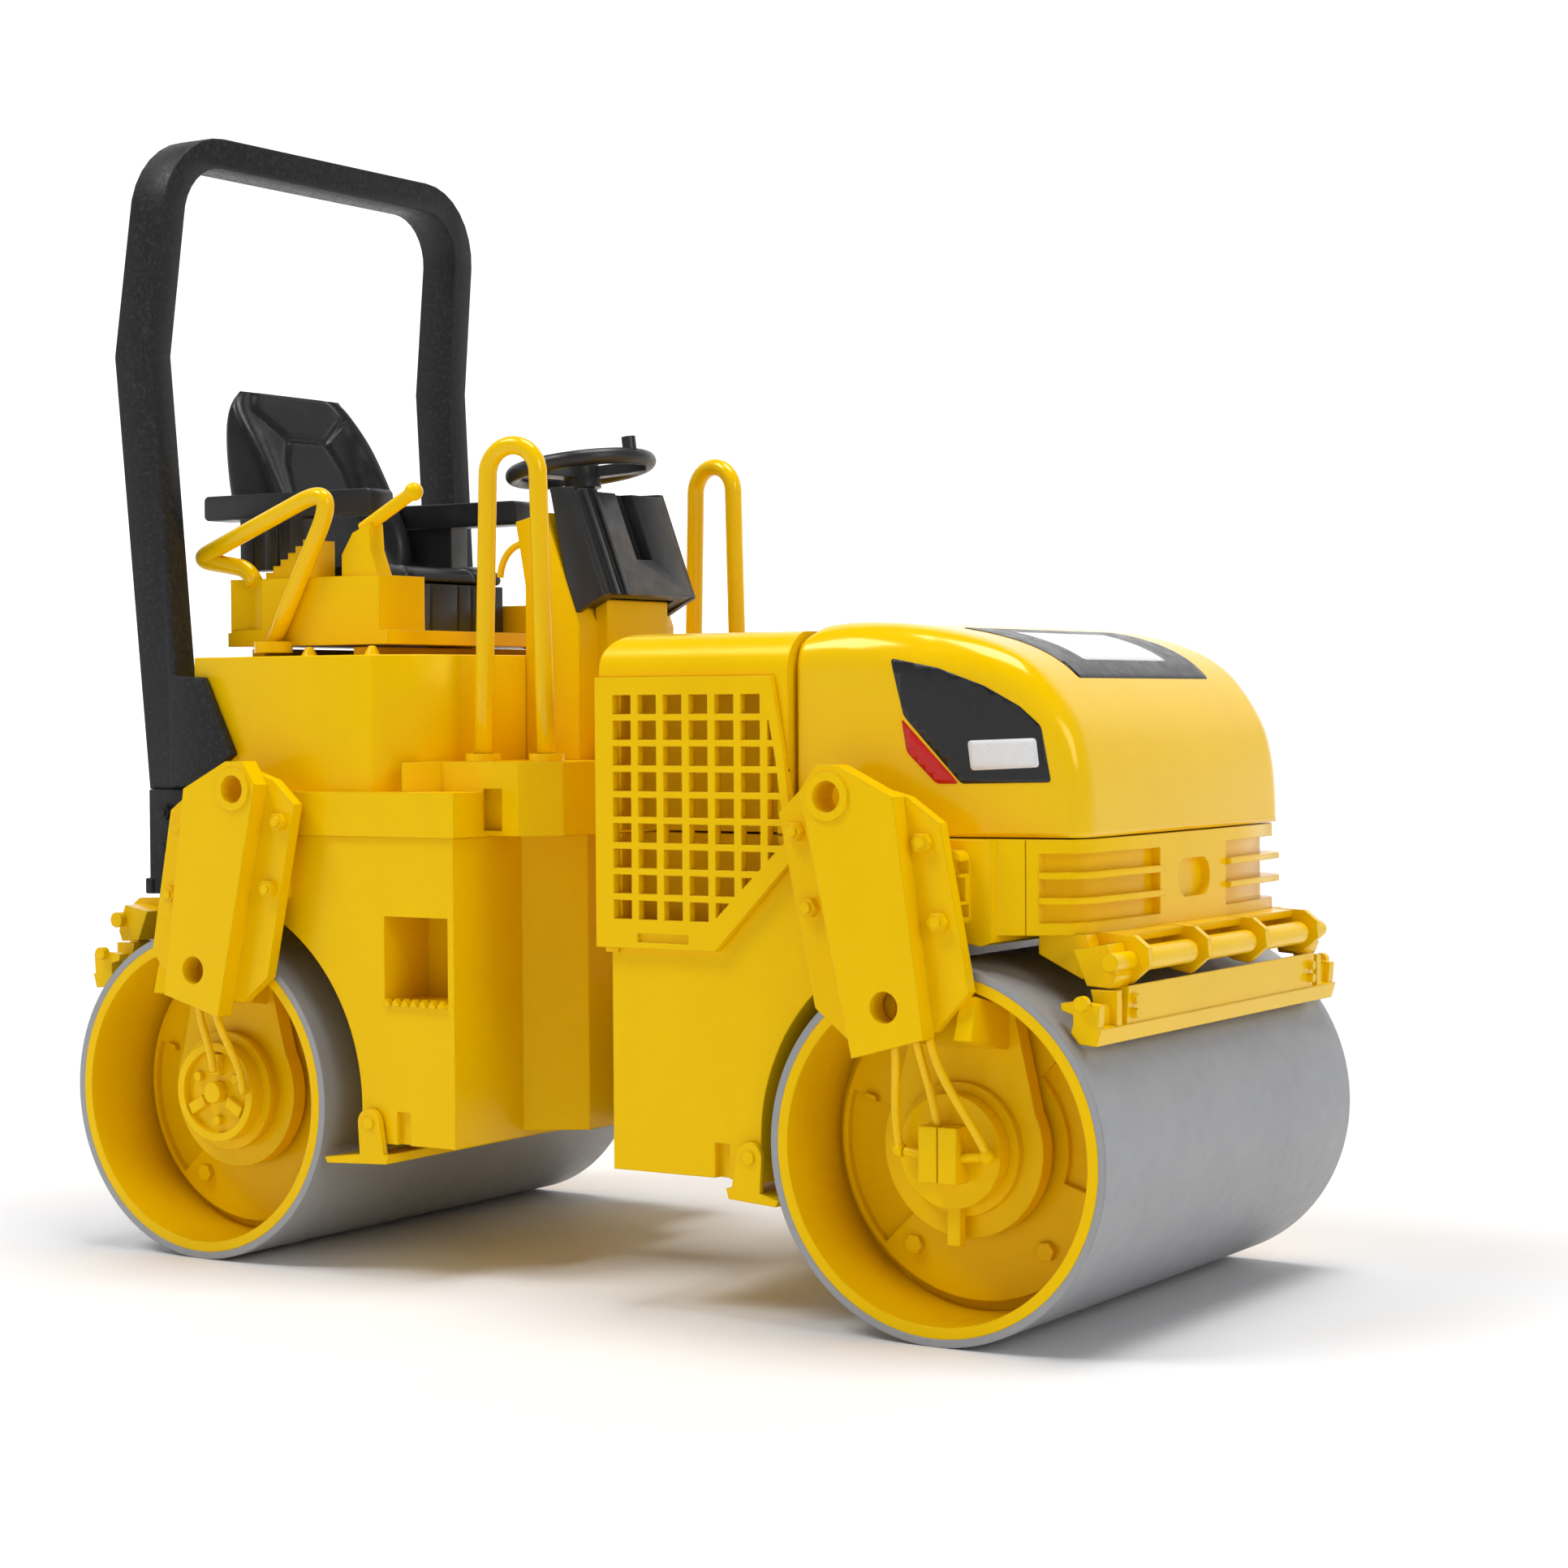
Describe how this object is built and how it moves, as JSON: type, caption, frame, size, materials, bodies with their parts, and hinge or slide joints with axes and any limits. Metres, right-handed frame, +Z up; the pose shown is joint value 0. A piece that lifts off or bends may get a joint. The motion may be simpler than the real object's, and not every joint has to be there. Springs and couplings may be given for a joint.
{
  "type": "toy road roller",
  "caption": "Toy tandem road roller with two smooth drums, centre steering joint, hinged bonnet, driver's seat and roll-over frame.",
  "frame": {"origin": "on the ground under the articulation pin, midway between the two drums", "axes": "+X forward to the engine end, +Y to the machine's left, +Z up"},
  "size_m": [0.1648, 0.0846, 0.1588],
  "materials": {
    "yellow_plastic": "moulded yellow plastic, satin gloss",
    "black_plastic": "moulded black plastic, semi matt with fine grain",
    "seat_plastic": "moulded black seat, leather-like semi gloss",
    "drum_silver": "smooth silver painted drum surface",
    "steel": "plain turned steel pins and axles"
  },
  "bodies": {
    "rear_frame": {"rear_chassis": "yellow_plastic", "water_tank": "yellow_plastic", "deck_ledge": "yellow_plastic", "handrail_right": "yellow_plastic", "handrail_left": "yellow_plastic", "steering_pedestal": "yellow_plastic", "cable_guide": "yellow_plastic", "dash_box": "black_plastic", "rops_arch": "black_plastic", "rops_feet": "black_plastic", "rops_bolts": "black_plastic", "rear_bracket_right": "yellow_plastic", "rear_bracket_left": "yellow_plastic", "rear_bracket_bolts": "yellow_plastic", "rear_arm_right": "yellow_plastic", "rear_arm_left": "yellow_plastic", "rear_hub_covers": "yellow_plastic", "rear_hoses": "yellow_plastic", "rear_scraper_frame": "yellow_plastic", "rear_spray_bar": "yellow_plastic", "rear_outer_scraper": "yellow_plastic", "rear_axle": "steel", "rear_yoke": "black_plastic", "articulation_pin": "steel"},
    "seat_carriage": {"seat_platform": "yellow_plastic", "seat_base": "black_plastic", "seat_cushion": "seat_plastic", "seat_back": "seat_plastic", "armrests": "black_plastic", "grab_rail": "yellow_plastic", "drive_lever": "yellow_plastic"},
    "steering_wheel_body": {"steering_wheel": "black_plastic", "spinner_knob": "black_plastic", "steering_shaft": "black_plastic"},
    "front_frame": {"front_chassis": "yellow_plastic", "engine_cowl": "yellow_plastic", "grille_right": "yellow_plastic", "grille_left": "yellow_plastic", "nose_panel": "yellow_plastic", "engine_block": "yellow_plastic", "front_bracket_right": "yellow_plastic", "front_bracket_left": "yellow_plastic", "front_bracket_bolts": "yellow_plastic", "front_arm_right": "yellow_plastic", "front_arm_left": "yellow_plastic", "front_motors": "yellow_plastic", "front_hoses": "yellow_plastic", "front_scraper_frame": "yellow_plastic", "front_spray_bar": "yellow_plastic", "front_outer_scraper": "yellow_plastic", "front_axle": "steel", "front_yoke": "black_plastic", "bonnet_pins": "steel"},
    "bonnet_lid": {"bonnet": "yellow_plastic"},
    "front_drum": {"front_drum_sleeve": "drum_silver", "front_drum_core": "yellow_plastic"},
    "rear_drum": {"rear_drum_sleeve": "drum_silver", "rear_drum_core": "yellow_plastic"},
    "front_scraper_flap": {"front_inner_scraper": "yellow_plastic"},
    "rear_scraper_flap": {"rear_inner_scraper": "yellow_plastic"}
  },
  "joints": [
    {"name": "steering", "type": "hinge", "parent": "rear_frame", "child": "front_frame", "pos_m": [0, 0, 0.029], "axis": [0, 0, 1], "range_deg": [-25, 25]},
    {"name": "front_drum_spin", "type": "hinge", "parent": "front_frame", "child": "front_drum", "pos_m": [0.059, 0, 0.023], "axis": [0, 1, 0], "continuous": true},
    {"name": "rear_drum_spin", "type": "hinge", "parent": "rear_frame", "child": "rear_drum", "pos_m": [-0.059, 0, 0.023], "axis": [0, 1, 0], "continuous": true},
    {"name": "steering_wheel_turn", "type": "hinge", "parent": "rear_frame", "child": "steering_wheel_body", "pos_m": [-0.0191, 0, 0.1108], "axis": [-0.1392, 0, 0.9903], "continuous": true},
    {"name": "seat_slide", "type": "slide", "parent": "rear_frame", "child": "seat_carriage", "axis": [0, 1, 0], "range_m": [-0.002, 0.009]},
    {"name": "bonnet_hinge", "type": "hinge", "parent": "front_frame", "child": "bonnet_lid", "pos_m": [0.0392, 0, 0.0856], "axis": [0, -1, 0], "range_deg": [0, 60]},
    {"name": "front_scraper_fold", "type": "hinge", "parent": "front_frame", "child": "front_scraper_flap", "pos_m": [0.0321, 0, 0.0207], "axis": [0, 1, 0], "range_deg": [0, 10]},
    {"name": "rear_scraper_fold", "type": "hinge", "parent": "rear_frame", "child": "rear_scraper_flap", "pos_m": [-0.0287, 0, 0.021], "axis": [0, -1, 0], "range_deg": [0, 10]}
  ]
}
